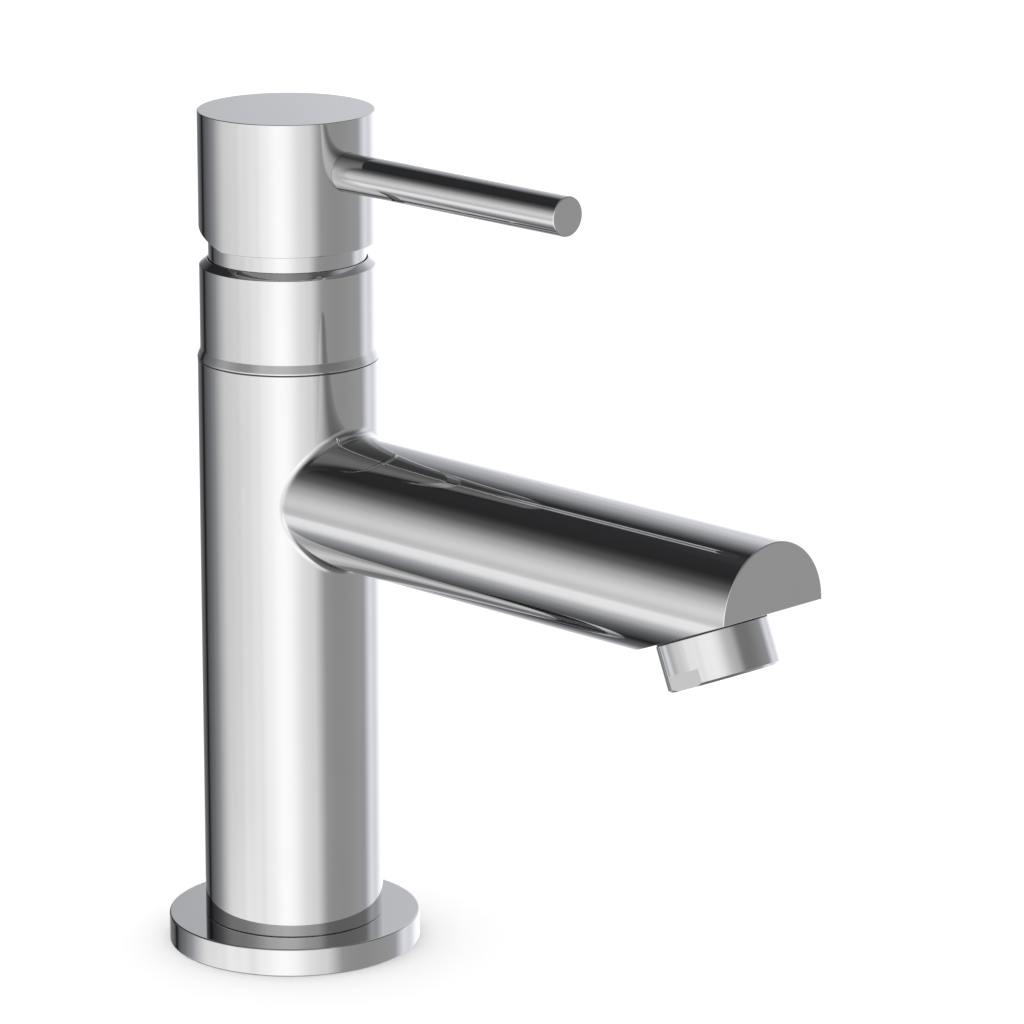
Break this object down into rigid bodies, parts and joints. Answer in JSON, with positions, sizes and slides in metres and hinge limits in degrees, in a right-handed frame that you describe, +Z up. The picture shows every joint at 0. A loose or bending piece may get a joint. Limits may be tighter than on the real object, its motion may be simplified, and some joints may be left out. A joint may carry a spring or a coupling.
{
  "type": "basin mixer faucet",
  "caption": "Chromed single-lever basin mixer: upright round body, straight round spout with tilted aerator, cup handle with thin lever.",
  "frame": {"origin": "centre of the flange's underside, on the deck and on the body's axis", "axes": "+Z up along the body's axis, -Y along the spout and the lever, +X to the cold side"},
  "size_m": [0.0536, 0.1641, 0.1803],
  "materials": {
    "chrome": "polished",
    "brass": "machined",
    "copper": "drawn copper tube",
    "rubber": "matte",
    "acetal": "moulded",
    "carrier_plastic": "moulded",
    "insert_plastic": "moulded",
    "plug_plastic": "gloss",
    "black_plastic": "matte",
    "ceramic": "lapped ceramic",
    "steel": "machined"
  },
  "bodies": {
    "mixer": {"base_flange": "chrome", "base_seal": "rubber", "inlet_manifold": "brass", "manifold_oring": "rubber", "hot_riser": "copper", "cold_riser": "copper", "faucet_body": "chrome", "seat_seals": "rubber", "cartridge_base": "acetal", "disc_seals": "rubber", "fixed_disc": "ceramic", "cartridge_housing": "acetal", "cartridge_nut": "brass", "slip_ring": "black_plastic", "collar": "chrome", "stop_ring": "black_plastic", "aerator_shell": "chrome", "aerator_insert": "insert_plastic", "aerator_screen": "steel", "aerator_gasket": "rubber", "joint_washer": "rubber"},
    "carrier": {"turning_carrier": "carrier_plastic", "carrier_oring": "rubber", "pivot_pin": "steel", "stop_pin": "steel"},
    "mixing_slide": {"moving_disc": "ceramic", "disc_driver": "carrier_plastic"},
    "handle": {"spindle": "steel", "handle_cap": "chrome", "lever_rod": "chrome", "set_screw": "steel", "index_plug": "plug_plastic"}
  },
  "joints": [
    {"name": "temperature_turn", "type": "hinge", "parent": "mixer", "child": "carrier", "pos_m": [0, 0, 0.1381], "axis": [0, 0, 1], "range_deg": [-50, 50]},
    {"name": "lever_tilt", "type": "hinge", "parent": "carrier", "child": "handle", "pos_m": [0, 0, 0.1526], "axis": [-1, 0, 0], "range_deg": [0, 25]},
    {"name": "disc_slide", "type": "slide", "parent": "carrier", "child": "mixing_slide", "axis": [0, -1, 0], "range_m": [0, 0.00592]}
  ],
  "couplings": [
    {"joint": "disc_slide", "follows": "lever_tilt", "m_per_rad": 0.013561}
  ]
}
